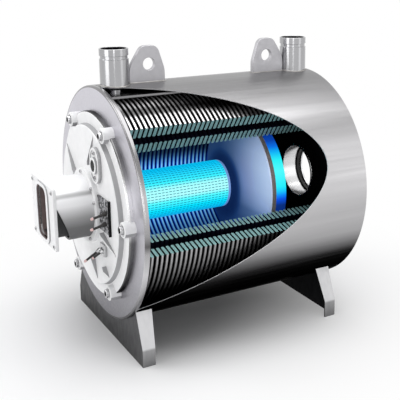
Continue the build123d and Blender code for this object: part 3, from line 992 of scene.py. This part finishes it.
def burner_door():
    rim, step_radius = 0.014, 0.203
    profile = ((DOOR_RADIUS, 0), (DOOR_RADIUS, rim), (step_radius + 0.004, rim), (step_radius, -DOOR_FACE),
               (0, -DOOR_FACE))
    disc = rounded(profile, (0, 0.006, 0.001, 0.005, 0), steps=5)
    # The rim's outer side gets the rim metal with its painted highlight and shade, and steep walls inside it
    # the shaded casting, painted shade.
    paint = []
    for a, b in zip(disc, disc[1:]):
        steep = abs(b[1] - a[1]) > abs(b[0] - a[0]) * 2
        outermost = min(a[0], b[0]) > DOOR_RADIUS - 0.0025
        paint.append(1 if outermost else 2 if steep and max(a[0], b[0]) < DOOR_RADIUS - 0.01 else 0)
    casting_disc = lathe("burner_door_casting", disc, front_view(0, 0, 0), (casting, door_rim, shaded_casting),
                         192, paint=paint)
    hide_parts("burner_door")

    bosses = bmesh.new()
    boss_top = 0.002 - DOOR_FACE
    boss = rounded(((0.019, 0), (0.019, -DOOR_FACE), (0.0135, -DOOR_FACE), (0.0125, boss_top - 0.004),
                    (0, boss_top - 0.004)), (0, 0.0035, 0.001, 0.001, 0))
    spots = circle(BOSS_RADIUS, 6)
    for x, z in spots:
        add_lathe(bosses, boss, front_view(x, 0, z), 40)
    boss_piece = from_bmesh("door_bosses", bosses, (casting, shaded_casting))
    # Sides of the bosses that face down get the shaded casting, painted shade.
    for face in boss_piece.data.polygons:
        if abs(face.normal.y) < 0.5 and face.normal.z < -0.25:
            face.material_index = 1
    socket_screws("door_cap_screws", [(front_view(x, DOOR_FACE + 0.002, z, 15 * i), 0.011, 0.009, 0.007)
                                      for i, (x, z) in enumerate(spots)])

    # Fins that stiffen the face, each highest at its inner end
    thickness = 0.006
    upright = Matrix(((1, 0, 0, 0), (0, 0, -1, 0), (0, 1, 0, 0), (0, 0, 0, 1)))
    fins = bmesh.new()
    spans = ((73, 0.118, 0.197), (140, 0.1, 0.198), (-24, 0.112, 0.198), (-77, 0.128, 0.19), (-50, 0.17, 0.2))
    for angle, start, end in spans:
        outline = rounded(((start, 0), (start, 0.012), (start + 0.012, 0.013), (end, 0.002), (end, 0)),
                          (0, 0.003, 0.004, 0.001, 0), closed=True)
        place = front_view(0, DOOR_FACE + 0.0005, 0, angle) @ upright
        add_plate(fins, (outline,), thickness, place @ Matrix.Translation((0, 0, -thickness / 2)), 0.0012)
    shade_sides(from_bmesh("door_fins", fins, (casting, shaded_casting)))

    # Sight glass: an oval pad, a ring on it and the dark pane
    x, z = on_circle(0.146, 56)
    pad = capsule(0.09, 0.06)
    pad_top = DOOR_FACE - 0.006
    pads = bmesh.new()
    add_plate(pads, (pad,), 0.0075, front_view(x, DOOR_FACE + 0.001, z), 0.0012)
    add_plate(pads, (pad, capsule(0.078, 0.048)), 0.003, front_view(x, pad_top, z), 0.0008)
    ring = rounded(((0.021, 0.005), (0.021, 0.013), (0.0145, 0.013), (0.0145, 0.006)), (0, 0.002, 0.001, 0))
    add_lathe(pads, ring, front_view(x, DOOR_FACE, z), 48)
    shade_sides(from_bmesh("sight_glass_pad", pads, (casting, shaded_casting)))
    socket_screws("sight_glass_screws", [(front_view(x, pad_top, z + up, 20), 0.0045, 0.005, 0.0028)
                                         for up in (0.0305, -0.0305)])
    glass = ((0, 0.0118), (0.0165, 0.0112))
    disc = lathe("sight_glass_disc", glass, front_view(x, DOOR_FACE, z), (pane,), 48)
    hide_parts("sight_glass")


# Inlet duct


def inlet_duct():
    flange_thickness, lip_height, bedding = 0.012, 0.0035, 0.0005
    flange_back = DUCT_FRONT + flange_thickness
    opening = rectangle(0.076, 0.132, 0.022)
    corners = [(x, z) for x in (-0.078, 0.078) for z in (-0.067, 0.067)]
    holes = [circle(0.0045, 20, c) for c in corners]
    bm = bmesh.new()
    add_plate(bm, (rectangle(0.18, 0.158, 0.009), opening, *holes), flange_thickness - lip_height,
              front_view(0, flange_back, 0), 0.002)
    flange = from_bmesh("duct_flange", bm, (casting,))
    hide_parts("inlet_duct")
    lip = (rectangle(0.104, 0.15, 0.032, 8), opening)
    shade_sides(plate("duct_flange_lip", lip, lip_height + bedding,
                      front_view(0, DUCT_FRONT + lip_height + bedding, 0), (casting, shaded_casting),
                      0.0008))

    # The neck is a short rectangular duct, whose inside runs back to the door. The neck is painted near black
    # as shadow.
    bm = bmesh.new()
    add_loft(bm, [[at(x, depth, z + 0.001) for x, z in rectangle(0.1, 0.118, 0.008)]
                  for depth in (flange_back, -0.085)], capped=())
    from_bmesh("duct_neck", bm, (neck_shadow,))
    bm = bmesh.new()
    add_loft(bm, [[at(x, depth, z) for x, z in opening] for depth in (DUCT_FRONT + 0.002, DOOR_FACE)],
             capped=(-1,))
    from_bmesh("duct_throat", bm, (duct_inside,))

    # Round body, cut by a slanted plane at its lower front
    base, radius, wall, inside_depth = 0.012, 0.08, 0.005, 0.04
    body_start = DOOR_FACE - base
    slope_top, slope_run = 0.035, 0.046
    shrink = 1 - wall / radius
    outline = circle(radius, 96)
    starts = [flange_back + slope_run * max(0, slope_top - z) / (slope_top + radius) for x, z in outline]
    bm = bmesh.new()
    front = add_ring(bm, [at(x, depth, z) for (x, z), depth in zip(outline, starts)])
    rear = add_ring(bm, [at(x, body_start, z) for x, z in outline])
    inner, deep = (add_ring(bm, [at(x * shrink, depth + behind, z * shrink)
                                 for (x, z), depth in zip(outline, starts)]) for behind in (0, inside_depth))
    bridge(bm, front, rear)
    bridge(bm, front, inner)
    # Inside the body it is painted black as shade.
    bridge(bm, inner, deep, 1)
    bm.faces.new(deep).material_index = 1
    from_bmesh("duct_body", bm, (duct_casting, interior_painted_shade))

    # Base ring with its screws
    base_radius = 0.095
    ring = rounded(((radius - 0.002, base), (base_radius, base), (base_radius, 0)), (0, 0.002, 0))
    lathe("duct_base_ring", ring, front_view(0, DOOR_FACE, 0), (casting,), 96)
    screws = []
    for angle in (96, 42, 18, -62, 150, 206, 246):
        x, z = on_circle(0.0878, angle)
        screws.append((front_view(x, body_start, z, angle), 0.0046, 0.004, 0.0026))
    for x, z in corners:
        screws.append((front_view(x, DUCT_FRONT + lip_height, z), 0.0056, 0.002, 0.0032))
    socket_screws("duct_screws", screws)


# Electrodes and igniter


def add_rod(bm, root, tip, radii, index=0):
    """Round rod from root to tip, with a radius at each of its evenly spaced stations."""
    along = tip - root
    turn = along.to_track_quat("Z", "Y")
    loops = []
    for k, radius in enumerate(radii):
        centre = root + along * (k / (len(radii) - 1))
        loops.append([centre + turn @ Vector((x, y, 0)) for x, y in circle(radius, 14)])
    add_loft(bm, loops, index=index, cap_index=index)


def add_electrode(bm, root, end, sleeve, stem, tip, stem_end, sleeve_look=0):
    """Sleeve, stem and red tip, each with the radii of its stations."""
    sleeve_end, overlap = 0.25, 0.02
    add_rod(bm, root, root.lerp(end, sleeve_end), sleeve, sleeve_look)
    add_rod(bm, root, root.lerp(end, stem_end), stem)
    add_rod(bm, root.lerp(end, stem_end - overlap), end, tip, 1)


def electrodes():
    low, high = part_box("electrode_plate")
    board = bar("electrode_board", low, high, 0.0008, mottled)
    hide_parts("electrode_plate")
    edge, proud = 0.0035, 0.002
    # A black strip along the board's edge, in the shadow black of the screw sockets, paints shade there.
    bar("electrode_board_edge", (high.x, low.y - 0.0015, low.z - proud),
        (high.x + edge, high.y, high.z + proud), 0.0006, socket_black)
    face = low.y - FRONT_Y
    rods = (("upper_electrode", 0.1428, 0.017, 0.008), ("lower_electrode", 0.1382, -0.0102, -0.02))
    for name, x, z, tip_z in rods:
        bm = bmesh.new()
        add_electrode(bm, at(x, face, z), at(x, -0.072, tip_z), (0.006, 0.006, 0.0044),
                      (0.0032, 0.0032, 0.003), (0.0034, 0.0036, 0.0024), 0.86)
        rod = from_bmesh(name + "_rod", bm, (rod_dark, red_tip))
        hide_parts(name)

    low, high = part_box("igniter_block")
    block = bar("igniter_body", low, high, 0.0025, screw_steel)
    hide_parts("igniter_block")
    centre = (low + high) / 2
    root = at(centre.x, low.y - FRONT_Y, centre.z - AXIS_Z)
    bm = bmesh.new()
    for side, reach in ((-0.0065, 1), (0.0065, 0.62)):
        start = root + Vector((side, 0, 0))
        end = start + (at(centre.x, -0.081, -0.1092) - root) * reach
        add_electrode(bm, start, end, (0.0056, 0.0056, 0.0044), (0.003, 0.003, 0.0028),
                      (0.0032, 0.0034, 0.0022), 0.88, 2)
    rod = from_bmesh("igniter_electrodes", bm, (rod_dark, red_tip, screw_steel))
    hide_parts("igniter_rod")


outer_shell()
end_plates()
coil("outer_coil_turns", OUTER_COIL, (coil_steel, coil_cut), "outer_coil")
coil("inner_coil_turns", INNER_COIL, (inner_coil_steel, coil_cut), "inner_coil")
upper_header()
burner()
refractory()
water_stubs()
lifting_lugs()
leg("front_leg_sheet", 0.011, 1, "front_leg")
leg("rear_leg_sheet", 0.584, -1, "rear_leg")
burner_door()
inlet_duct()
electrodes()


# Floor, lights and world


def picture_rays(made):
    """1 for the rays that show the background: camera rays and what metal and glass pick up."""
    rays = node(made, "ShaderNodeLightPath").outputs
    seen = rays["Is Camera Ray"]
    for kind in ("Is Glossy Ray", "Is Transmission Ray"):
        seen = reckon(made, "MAXIMUM", seen, rays[kind])
    return seen


def show_white(made, share, base, white, output):
    """Shows a white shader in the place of that share of the base."""
    nodes = made.node_tree.nodes
    mix = node(made, "ShaderNodeMixShader", {"Fac": share, 1: nodes[base].outputs[0], 2: white.outputs[0]})
    feed(made, nodes[output].inputs, {"Surface": mix.outputs["Shader"]})


def stage():
    bpy.ops.mesh.primitive_circle_add(vertices=96, radius=12.0, fill_type="NGON", location=(0, 0, 0))
    floor = bpy.context.object
    floor.name = "studio_floor"
    made = material("pale_floor", (0.93, 0.93, 0.935), 0, 0.9)
    shader(made, {"Specular IOR Level": 0.1})
    # Away from the object the floor looks plain white, so that it meets the background.
    oval = combine(made, "MULTIPLY_ADD", object_place(made), (1.32, 1, 0), (0.077, 0.112, 0))
    fade = span(made, length_of(made, oval), 0.16, 1.12, curve="SMOOTHSTEP")
    share = reckon(made, "MULTIPLY", fade, picture_rays(made))
    show_white(made, share, "Principled BSDF", node(made, "ShaderNodeEmission"), "Material Output")
    floor.data.materials.append(made)


def aimed(name, data, place, direction):
    """Lamp or camera at a place, looking along a direction."""
    thing = linked(name, data)
    thing.location = place
    thing.rotation_mode = "QUATERNION"
    thing.rotation_quaternion = direction.to_track_quat("-Z", "Y")
    return thing


def softbox(name, place, size, power):
    """Rectangular lamp that looks at the boiler's middle."""
    data = bpy.data.lights.new(name, "AREA")
    data.shape = "RECTANGLE"
    data.size, data.size_y = size
    data.energy = power
    aimed(name, data, place, Vector((0, 0, AXIS_Z)) - Vector(place))


def lights():
    softbox("key_softbox", (-1.7, -2.6, 2.3), (1.6, 2.2), 42)
    softbox("side_softbox", (3.0, -1.2, 1.3), (0.4, 2.0), 8)
    softbox("rim_softbox", (2.6, 2.1, 1.2), (1.2, 2.4), 5)
    softbox("front_softbox", (0.7, -3.4, 1), (1.8, 1.8), 21)
    softbox("top_softbox", (0.2, 0.2, 3.2), (2.6, 2.8), 72)


def world():
    made = bpy.data.worlds.new("studio")
    bpy.context.scene.world = made
    made.use_nodes = True
    studio_light = {"Color": (0.8, 0.81, 0.83, 1), "Strength": 0.3}
    feed(made, made.node_tree.nodes["Background"].inputs, studio_light)
    white = node(made, "ShaderNodeBackground", {"Color": (1, 1, 1, 1)})
    show_white(made, picture_rays(made), "Background", white, "World Output")


def camera():
    """The photograph's view. The frame is square, 400 pixels a side."""
    frame_pixels, focal_pixels, shift_pixels = 400, 796.7, -60
    yaw, pitch = math.radians(58.95), math.radians(13.2)
    look = Vector((-math.sin(yaw) * math.cos(pitch), math.cos(yaw) * math.cos(pitch), -math.sin(pitch)))
    data = bpy.data.cameras.new("photo_camera")
    data.sensor_width = 36.0
    data.lens = focal_pixels * data.sensor_width / frame_pixels
    data.shift_x = data.shift_y = shift_pixels / frame_pixels
    data.clip_start = 0.05
    data.clip_end = 60.0
    bpy.context.scene.camera = aimed("photo_camera", data, at(1.8783, -0.6508, 0.62), look)


stage()
lights()
world()
camera()
bpy.context.scene.view_settings.view_transform = "Standard"
